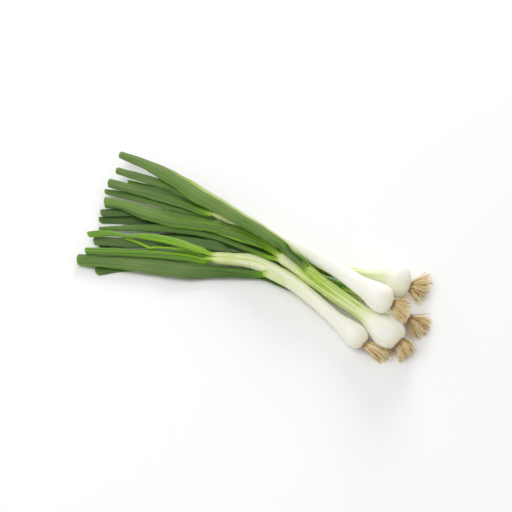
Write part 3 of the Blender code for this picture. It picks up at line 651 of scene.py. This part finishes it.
def leaf_sections(rows, axes, stops, faces, shrink, lift):
    """Points of each section: place + arc of the blade's bend, with the given face at each stop."""
    _, up, side = axes
    roll = np.radians(rows[:, 6])[:, None]
    out = np.cos(roll) * up + np.sin(roll) * side
    across = np.cos(roll) * side - np.sin(roll) * up
    half = np.radians(np.maximum(rows[:, 5], LEAST_BEND))[:, None]
    radius = rows[:, 3:4] / (2 * half)
    narrow = np.clip((rows[:, 3:4] - 2 * shrink) / rows[:, 3:4], LEAST_SHARE, 1.0)
    angle = stops[None, :] * half * narrow
    full = np.sqrt(np.clip(1 - np.abs(stops) ** FULLNESS, 0, None))[None, :]
    deep = faces[None, :] * (np.clip(rows[:, 4:5] / 2 - shrink, LEAST_HALF, None) * full + lift)
    reach = radius + deep
    return (
        rows[:, None, :3]
        + (reach * np.cos(angle) - radius)[:, :, None] * out[:, None]
        + (reach * np.sin(angle))[:, :, None] * across[:, None]
    )


def leaf_relief(name, seed, draw, places, stops, faces, across, free):
    """How far the blade's faces rise or sink, and where its trough, banks, fold and fold line are."""
    on_top = faces > 0
    inside = (1 - np.abs(stops) ** RIBS_INSIDE)[None, :]
    ribs = BLADE_RIB * np.sin(math.tau * across / BLADE_RIB_WIDTH + seed) * inside * free[:, None]
    crease_at = draw.uniform(*CREASE_PLACES) + ripple(places, seed + 3, *CREASE_DRIFT)
    waving = CREASE_EVEN + ripple(places, seed + 4, *CREASE_WAVES)
    depth = draw.uniform(*CREASE_DEPTHS) * waving * free
    away = (stops[None, :] - crease_at[:, None]) / CREASE_WIDTH
    lift = ribs - depth[:, None] * np.exp(-(away**2)) * on_top
    trough = bank = beyond = line = np.zeros_like(lift)
    if name in CHANNELS:
        begin, finish, deep, wide = CHANNELS[name]
        window = ease((places - begin) / CHANNEL_RISE) * ease((finish - places) / CHANNEL_FALL)
        off = (stops[None, :] - CHANNEL_MIDDLE) / wide
        trough = window[:, None] * np.exp(-(off**CHANNEL_WALLS)) * on_top
        lift = lift - deep * trough
        bank = window[:, None] * (1 - trough)
    if name in FOLDS:
        at, deep = FOLDS[name][:2]
        wave = ripple(places, seed + 6, *FOLD_WAVES)[:, None]
        past = stops[None, :] * math.copysign(1.0, at) - abs(at) + wave
        beyond = ease(past / FOLD_SOFTNESS) * free[:, None]
        line = np.exp(-((past / FOLD_LINE) ** 2)) * free[:, None]
        lift = lift - deep * line * on_top
    return lift, (trough, bank, beyond, line)


def leaf_colours(name, seed, places, stops, free, joint, first_green, areas):
    """The green and the wax at each point of a leaf."""
    bright, level, wax_start, wax, _ = LEAF_LOOKS[name]
    fold_green, fold_wax = FOLDS.get(name, NO_FOLD)[2:]
    trough, bank, beyond, line = areas
    length = places[-1]
    rise = ease((places - joint + BASE_BEFORE) / BASE_RISE)
    darker = np.exp(-np.clip(places - joint, 0, None) / bright * DARKENING)
    reached = level - (level - BASE_GREEN) * darker
    green = (first_green + (reached - first_green) * rise)[:, None] + np.zeros_like(trough)
    margin = np.exp(-((1 - np.abs(stops[None, :])) / MARGIN_WIDTH) ** 2)
    # paler edges: partly wax bloom, partly a painted highlight
    green = green - MARGIN_PALER * free[:, None] * margin
    tip = ease((places - (length - TIP_PALE_REACH)) / TIP_PALE_REACH)[:, None]
    # painted shade: the inside of the trough is darkened; the cut end is paler
    green = green + TROUGH_PAINTED_SHADE * trough - TIP_PALER * tip
    bloomed = ease((places - joint - wax_start) / WAX_RISE)
    uneven = (WAX_EVEN + ripple(places, seed + 5, *WAX_WAVES))[:, None]
    # no wax inside the trough, so its painted shade stays dark
    waxed = wax * bloomed[:, None] * uneven * (1 - trough)
    far = ease((places / length - FOLD_GREEN_FROM) / FOLD_GREEN_OVER)[:, None]
    fading = fold_green + (level - fold_green) * far
    # beyond a fold the leaf takes the fold's own green and wax (on c_leaf_3 partly a painted highlight);
    # along its line, painted shade
    green = green + beyond * (fading - green) + FOLD_PAINTED_SHADE * line
    # the banks beside a trough get wax that is partly a painted highlight
    waxed = waxed + beyond * (fold_wax - waxed) + BANK_WAX_AND_HIGHLIGHT * bank
    return green, waxed


def build_leaf(name, material):
    """A leaf from its sheath on the stem to its cut end, which is hollow for a short depth."""
    start, end, turn, hug, route = LEAVES[name]
    route = routed(route)
    key = name[0]
    seed = 7 * ord(key) + int(name[-1])
    draw = random.Random(seed)
    if hug:
        base = base_rows(key, start, end, turn, hug)
        joint = SHEATH_REACH + end - start
        first_green = float(np.interp(start - GREEN_BEFORE, *zip(*STEM_GREENS[key])))
    else:
        base, joint, first_green = [free_start(route)], FREE_START, FREE_GREEN
    places, rows = smooth(base + route, LEAF_STEP)
    length = places[-1]
    free = ease((places - joint) / FREE_OVER)
    rows[:, 3] *= 1 + free * ripple(places, seed, *WIDTH_WAVES)
    rows[:, 4] *= 1 + free * ripple(places, seed + 1, *THICKNESS_WAVES)
    rows[:, 6] += free * ripple(places, seed + 2, *ROLL_WAVES)
    top = np.sin(np.linspace(-1, 1, LEAF_ACROSS) * math.pi / 2)
    stops = np.concatenate([top, top[-2:0:-1]])
    faces = np.concatenate([np.ones(LEAF_ACROSS), -np.ones(LEAF_ACROSS - 2)])
    across = stops[None, :] * rows[:, 3:4] / 2
    lift, areas = leaf_relief(name, seed, draw, places, stops, faces, across, free)

    axes = np.array(frames(rows[:, :3]))
    ahead = axes[0]
    outer = leaf_sections(rows, axes, stops, faces, 0.0, lift)
    slant = SLANTS.get(name, SLANT) + draw.uniform(-SLANT_SPREAD, SLANT_SPREAD)
    rounded = TIP_BULGE * (1 - stops[None, :] ** 2)
    cut = ease((places - (length - TIP_REACH)) / TIP_REACH)[:, None] * (slant * across + rounded)
    outer = outer + cut[:, :, None] * ahead[:, None]
    wall = min(WALL, rows[-1, 4] * WALL_SHARE)
    marks = np.linspace(length, length - HOLLOW_DEPTH, HOLLOW_RINGS)
    back = np.searchsorted(places, marks).clip(0, len(places) - 1)
    inner = leaf_sections(rows[back], axes[:, back], stops, faces, wall, 0.0)
    inner = inner + cut[back][:, :, None] * ahead[back][:, None]
    rim = leaf_sections(rows[-1:], axes[:, -1:], stops, faces, RIM_INSET, lift[-1:] * RIM_LIFT)
    rim = rim + (cut[-1:, :, None] + RIM_REACH) * ahead[-1:, None]

    def extended(value, rim_value=0.0, inner_value=0.0):
        """A value of the outer face, carried on over the rim and into the hollow."""
        shape = (HOLLOW_RINGS, *value.shape[1:])
        return np.concatenate([value, np.full_like(value[-1:], rim_value), np.full(shape, inner_value)])

    green, waxed = leaf_colours(name, seed, places, stops, free, joint, first_green, areas)
    none = np.zeros_like(lift)
    grain = np.stack(np.broadcast_arrays(
        across, FACE_SHIFT * faces[None, :], places[:, None] + LEAF_SHIFT * seed
    ), axis=-1)
    body = Body()
    body.tube(
        np.concatenate([outer, rim, inner]),
        green=extended(green, RIM_GREEN, HOLLOW_GREEN),
        wax=extended(waxed),
        blue=extended(LEAF_LOOKS[name][4] * free[:, None] + none),
        warm=extended(none),
        stripe=extended(none),
        grain=np.concatenate([grain, grain[-1:], grain[back]]),
    )
    obj = body.piece("leaf_%s_%s" % (key, name[-1]), material)
    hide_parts("onion_" + name)
    return obj


def root_tube(body, start, axes, heading, length, width, sway, droop, draw):
    """One root: it leaves the plate at an angle, wanders a little and sinks with its length."""
    side, up = axes
    t = np.linspace(0, 1, ROOT_POINTS)[:, None]
    phases = [draw.uniform(0, math.tau) for _ in range(4)]
    slow, quick = draw.uniform(*SLOW_WAVES), draw.uniform(*QUICK_WAVES)

    def swing(wave, phase):
        return np.sin(math.tau * wave * t + phase) - math.sin(phase)

    aside = swing(slow, phases[0]) * sway + swing(quick, phases[1]) * sway * QUICK_ASIDE
    above = swing(slow, phases[2]) * sway * SLOW_UP + swing(quick, phases[3]) * sway * QUICK_UP
    wander = aside * side + above * up
    path = start + length * t * heading + wander * t**SWAY_GROWTH - droop * t * t * UP
    path[:, 2] = np.maximum(path[:, 2], width * ROOT_LIE)
    _, n, s = frames(path)
    angles = math.tau * np.arange(ROOT_SIDES) / ROOT_SIDES
    knots = 1 + ROOT_KNOTS * np.sin(ROOT_KNOT_WAVE * t + phases[0])
    radius = width * (1 - ROOT_TAPER * t) * knots
    ring = np.cos(angles)[None, :, None] * n[:, None] + np.sin(angles)[None, :, None] * s[:, None]
    rings = path[:, None] + radius[:, :, None] * ring
    reach = np.repeat(length * t, ROOT_SIDES, axis=1)
    body.tube(rings, reach=reach, tone=np.full_like(reach, draw.random()))


def build_roots(key, material):
    """A tuft of thin roots, spread over the root plate as seeds are in a sunflower."""
    count, length, fan, rise, aside, down, droop, seed = ROOTS[key]
    draw = random.Random(seed)
    plate, radius, (ahead, up, side) = stem_end(key)
    turn, tip = math.radians(aside), math.radians(-down)
    middle = math.cos(turn) * math.cos(tip) * ahead + math.sin(turn) * side + math.sin(tip) * up
    middle /= np.linalg.norm(middle)
    body = Body()
    total = count * ROOTS_PER_CAD_ROOT
    for k in range(total):
        golden = k * math.pi * (3 - math.sqrt(5))
        ring = math.sqrt((k + 0.5) / total)
        a, b = ring * math.cos(golden), ring * math.sin(golden)
        dome = ROOT_START + ROOT_DOME * (1 - ring)
        start = plate + dome * ahead + ROOT_RING * radius * (a * side + b * up)
        sideways = math.radians(fan * a * draw.uniform(*ROOT_FANS) + draw.uniform(*ROOT_STIR))
        lift = math.radians(rise * b + draw.uniform(*ROOT_STIR))
        heading = (
            math.cos(sideways) * math.cos(lift) * middle + math.sin(sideways) * side
            + math.cos(sideways) * math.sin(lift) * up
        )
        thinner = 1.0
        if draw.random() < STRAY_SHARE:
            reach, thinner = length * draw.uniform(*STRAY_LENGTHS), STRAY_THINNER
        else:
            reach = length * draw.uniform(*ROOT_LENGTHS) ** ROOT_LENGTH_POWER
        width = draw.uniform(*ROOT_RADII) * thinner
        sway = draw.uniform(*ROOT_SWAYS)
        sink = droop * draw.uniform(*ROOT_DROOPS) * (reach / length) ** 2
        root_tube(body, start, (side, up), heading, reach, width, sway, sink, draw)
    obj = body.piece("roots_" + key, material)
    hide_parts("onion_%s_roots" % key)


def stem_end(key):
    """The stem's end at its root plate: its middle, its radius, and the axes out of it, up and aside."""
    _, rows = smooth(routed(STEMS[key]), FIXING_STEP)
    ahead, up, side = (axis[0] for axis in frames(rows[:, :3]))
    return rows[0, :3], rows[0, 3], (-ahead, up, side)


def build_plate(key, material):
    """The brown root plate, a lumpy dome over the stem's end."""
    plate, radius, (ahead, up, side) = stem_end(key)
    seed = ROOTS[key][-1]
    turns = math.tau * np.arange(PLATE_AROUND) / PLATE_AROUND
    lumps = np.ones(PLATE_AROUND)
    for count, shift, size in PLATE_LUMPS:
        lumps = lumps + size * np.sin(count * turns + shift * seed)
    out = np.cos(turns)[:, None] * up + np.sin(turns)[:, None] * side
    spread = radius * PLATE_SHARES[:, None] * lumps[None, :]
    rings = plate + PLATE_REACHES[:, None, None] * ahead + spread[:, :, None] * out
    body = Body()
    body.tube(rings)
    body.piece("root_plate_" + key, material)


class Shader:
    """A material's node tree, with short ways to add nodes to it."""

    def __init__(self, name):
        self.material = bpy.data.materials.new(name)
        self.material.use_nodes = True
        self.tree = self.material.node_tree
        self.surface = self.tree.nodes["Principled BSDF"]

    def add(self, kind, inputs=None, **settings):
        """A node with its settings, and its inputs as sockets to link or as constants."""
        node = self.tree.nodes.new(kind)
        for key, value in settings.items():
            setattr(node, key, value)
        for key, value in (inputs or {}).items():
            self.put(node.inputs[key], value)
        return node

    def put(self, socket, value):
        if isinstance(value, bpy.types.NodeSocket):
            self.tree.links.new(value, socket)
        else:
            socket.default_value = value

    def value(self, name):
        return self.add("ShaderNodeAttribute", attribute_name=name).outputs["Fac"]

    def vector(self, name):
        return self.add("ShaderNodeAttribute", attribute_name=name).outputs["Vector"]

    def position(self):
        return self.add("ShaderNodeTexCoord").outputs["Object"]

    def math(self, operation, a, b, clamp):
        inputs = {0: a, 1: b}
        return self.add("ShaderNodeMath", inputs, operation=operation, use_clamp=clamp).outputs[0]

    def plus(self, a, b, clamp=False):
        return self.math("ADD", a, b, clamp)

    def minus(self, a, b, clamp=False):
        return self.math("SUBTRACT", a, b, clamp)

    def times(self, a, b, clamp=False):
        return self.math("MULTIPLY", a, b, clamp)

    def noise(self, vector, scales, detail, roughness):
        scaled = self.add("ShaderNodeVectorMath", {0: vector, 1: scales}, operation="MULTIPLY")
        node = self.add(
            "ShaderNodeTexNoise",
            {"Vector": scaled.outputs[0], "Scale": 1.0, "Detail": detail, "Roughness": roughness},
        )
        return node.outputs["Fac"]

    def ramp(self, value, stops):
        node = self.add("ShaderNodeValToRGB", {"Fac": value})
        elements = node.color_ramp.elements
        while len(elements) < len(stops):
            elements.new(0.5)
        for element, (spot, colour) in zip(elements, stops):
            element.position, element.color = spot, screen(colour)
        return node.outputs["Color"]

    def steps(self, value, low, high):
        """0 below low, 1 above high and smooth between."""
        node = self.add("ShaderNodeMapRange", {"Value": value, "From Min": low, "From Max": high})
        node.interpolation_type = "SMOOTHSTEP"
        return node.outputs["Result"]

    def cover(self, share, under, over):
        """A colour as on a screen laid over another by a share."""
        node = self.add("ShaderNodeMix", data_type="RGBA")
        for socket, value in zip((node.inputs[0], *node.inputs[6:8]), (share, under, screen(over))):
            self.put(socket, value)
        return node.outputs[2]

    def bump(self, height, distance, strength):
        inputs = {"Height": height, "Distance": distance, "Strength": strength}
        return self.add("ShaderNodeBump", inputs).outputs["Normal"]

    def finish(self, **sockets):
        for key, value in sockets.items():
            self.put(self.surface.inputs[key.replace("_", " ")], value)
        return self.material


def tissue_material(name, roughness, shine, glow, glow_size):
    """Stem or leaf tissue: veins along the grain, a bloom of wax in patches, and the vertex greens."""
    s = Shader(name)
    grain = s.vector("grain")
    fine, veins = s.noise(grain, *FINE_VEINS), s.noise(grain, *BROAD_VEINS)
    patches, specks = s.noise(grain, *PATCHES), s.noise(grain, *SPECKS)
    lines, bands = s.steps(fine, *LINE_LEVELS), s.steps(veins, *BAND_LEVELS)
    between = s.plus(s.times(lines, STRIPE_LINES), s.times(bands, STRIPE_BANDS))
    pale = s.times(s.value("stripe"), s.minus(1.0, between))
    green = s.times(s.value("green"), s.minus(1.0, pale, True))
    stir = s.plus(s.times(s.minus(bands, 0.5), STIR_BANDS), s.times(s.minus(lines, 0.5), STIR_LINES))
    stir = s.times(stir, s.times(green, STIR_ON_GREEN, True))
    colour = s.ramp(s.plus(green, stir, True), GREENS)
    waxy = s.times(s.value("wax"), s.plus(WAX_LEAST, s.times(patches, WAX_PATCHES)), True)
    waxy = s.times(waxy, s.plus(WAX_BETWEEN, s.times(lines, WAX_LINES)), True)
    colour = s.cover(s.times(s.value("blue"), BLUE_COVER), colour, BLUE)
    colour = s.cover(s.times(waxy, WAX_COVER), colour, WAX)
    dark = s.times(s.steps(fine, *DARK_LEVELS), s.times(green, DARK_COVER))
    colour = s.cover(dark, colour, DARK_VEIN)
    colour = s.cover(s.times(s.steps(specks, *SPECK_LEVELS), SPECK_COVER), colour, SPECK)
    bare = s.minus(1.0, s.times(green, BARE_ENDS), True)
    skin = s.times(s.steps(patches, *SKIN_LEVELS), SKIN_PATCHES)
    colour = s.cover(s.times(bare, skin), colour, SKIN)
    colour = s.cover(s.times(bare, s.times(lines, SKIN_LINES)), colour, SKIN)
    warm = s.value("warm")
    # cream on the bulb's root end: partly its own tone, partly painted shade
    colour = s.cover(s.times(s.steps(warm, *CREAM_LEVELS), CREAM_COVER), colour, CREAM)
    brown = s.steps(s.plus(warm, s.times(veins, BROWN_VEINS)), *BROWN_LEVELS)
    colour = s.cover(brown, colour, BROWN)
    height = s.plus(s.times(fine, BUMP_FINE), s.times(veins, BUMP_BROAD))
    rougher = s.times(s.plus(waxy, s.minus(patches, 0.5)), ROUGHER)
    return s.finish(
        Base_Color=colour, Roughness=s.plus(roughness, rougher), Normal=s.bump(height, *TISSUE_BUMP),
        Specular_IOR_Level=shine, Subsurface_Weight=glow,
        Subsurface_Radius=GLOW_REACHES, Subsurface_Scale=glow_size,
    )


def root_material():
    """Pale roots of several tones, brown where they leave the plate."""
    s = Shader("root_hairs")
    mottle = s.noise(s.position(), *ROOT_MOTTLE)
    tones = s.plus(s.times(s.value("tone"), TONE_SHARE), s.times(mottle, MOTTLE_SHARE))
    colour = s.ramp(tones, ROOT_TONES)
    far = s.steps(s.minus(s.value("reach"), s.times(mottle, DARK_MOTTLE)), *ROOT_DARK_LEVELS)
    colour = s.cover(s.times(s.minus(1.0, far), DARK_ROOTS), colour, ROOT_DARK)
    roughness, shine, glow, glow_size = ROOT_SURFACE
    return s.finish(
        Base_Color=colour, Roughness=roughness, Specular_IOR_Level=shine,
        Normal=s.bump(mottle, *ROOT_BUMP), Subsurface_Weight=glow, Subsurface_Scale=glow_size,
    )


def plate_material():
    """Brown, with paler lumps."""
    s = Shader("root_plate")
    position = s.position()
    coarse, fine = s.noise(position, *PLATE_COARSE), s.noise(position, *PLATE_FINE)
    level = s.plus(s.times(coarse, COARSE_SHARE), s.times(fine, FINE_SHARE))
    roughness, shine = PLATE_SURFACE
    return s.finish(
        Base_Color=s.ramp(level, PLATE_TONES), Roughness=roughness, Specular_IOR_Level=shine,
        Normal=s.bump(level, *PLATE_BUMP),
    )


def floor_material():
    s = Shader("pale_floor")
    roughness, shine = FLOOR_SURFACE
    colour = s.ramp(s.noise(s.position(), *FLOOR_CLOUD), FLOOR_TONES)
    return s.finish(Base_Color=colour, Roughness=roughness, Specular_IOR_Level=shine)


def make_camera():
    """The camera where the photograph is taken from, with its field of view."""
    right, up, back = view_axes()
    data = bpy.data.cameras.new("camera")
    data.sensor_width = SENSOR
    data.lens = SENSOR * PHOTO_DISTANCE / (2 * PHOTO_MIDDLE * PHOTO_PIXEL)
    data.clip_start, data.clip_end = NEAREST, FARTHEST
    camera = bpy.data.objects.new("camera", data)
    turn = Matrix([right, up, back]).transposed()
    eye = Vector(PHOTO_TARGET + PHOTO_DISTANCE * back) * MM
    camera.matrix_world = Matrix.Translation(eye) @ turn.to_4x4()
    bpy.context.scene.collection.objects.link(camera)
    bpy.context.scene.camera = camera


def area_light(name, spot, size, power):
    """A round light that points at the middle of the bunch."""
    data = bpy.data.lights.new(name, "AREA")
    data.shape = "DISK"
    data.size, data.energy = size, power
    lamp = bpy.data.objects.new(name, data)
    lamp.location = spot
    lamp.rotation_mode = "QUATERNION"
    lamp.rotation_quaternion = (-Vector(spot)).to_track_quat("-Z", "Y")
    bpy.context.scene.collection.objects.link(lamp)


def make_surroundings():
    """The pale floor, an even bright sky and the lights."""
    mesh = bpy.data.meshes.new("floor")
    half, low = FLOOR_HALF, -FLOOR_DROP * MM
    corners = [(-half, -half, low), (half, -half, low), (half, half, low), (-half, half, low)]
    mesh.from_pydata(corners, [], [(0, 1, 2, 3)])
    mesh.materials.append(floor_material())
    floor = bpy.data.objects.new("floor", mesh)
    bpy.context.scene.collection.objects.link(floor)
    world = bpy.data.worlds.new("studio")
    world.use_nodes = True
    background = world.node_tree.nodes["Background"]
    background.inputs["Color"].default_value = WHITE
    background.inputs["Strength"].default_value = SKY
    bpy.context.scene.world = world
    for name, (spot, size, power) in LIGHTS.items():
        area_light(name, spot, size, power)
    bpy.context.scene.view_settings.view_transform = "Standard"


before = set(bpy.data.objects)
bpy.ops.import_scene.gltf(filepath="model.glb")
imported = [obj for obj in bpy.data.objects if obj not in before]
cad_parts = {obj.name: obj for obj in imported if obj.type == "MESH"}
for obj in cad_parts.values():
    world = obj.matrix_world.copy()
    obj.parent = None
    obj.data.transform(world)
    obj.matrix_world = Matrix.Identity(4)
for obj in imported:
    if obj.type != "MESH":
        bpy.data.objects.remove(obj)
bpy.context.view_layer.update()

make_camera()
make_surroundings()
stem_look = tissue_material("stem_tissue", *STEM_TISSUE)
leaf_look = tissue_material("leaf_tissue", *LEAF_TISSUE)
roots_look = root_material()
plate_look = plate_material()
for key in STEMS:
    build_stem(key, stem_look)
    build_roots(key, roots_look)
    build_plate(key, plate_look)
for name in LEAVES:
    build_leaf(name, leaf_look)
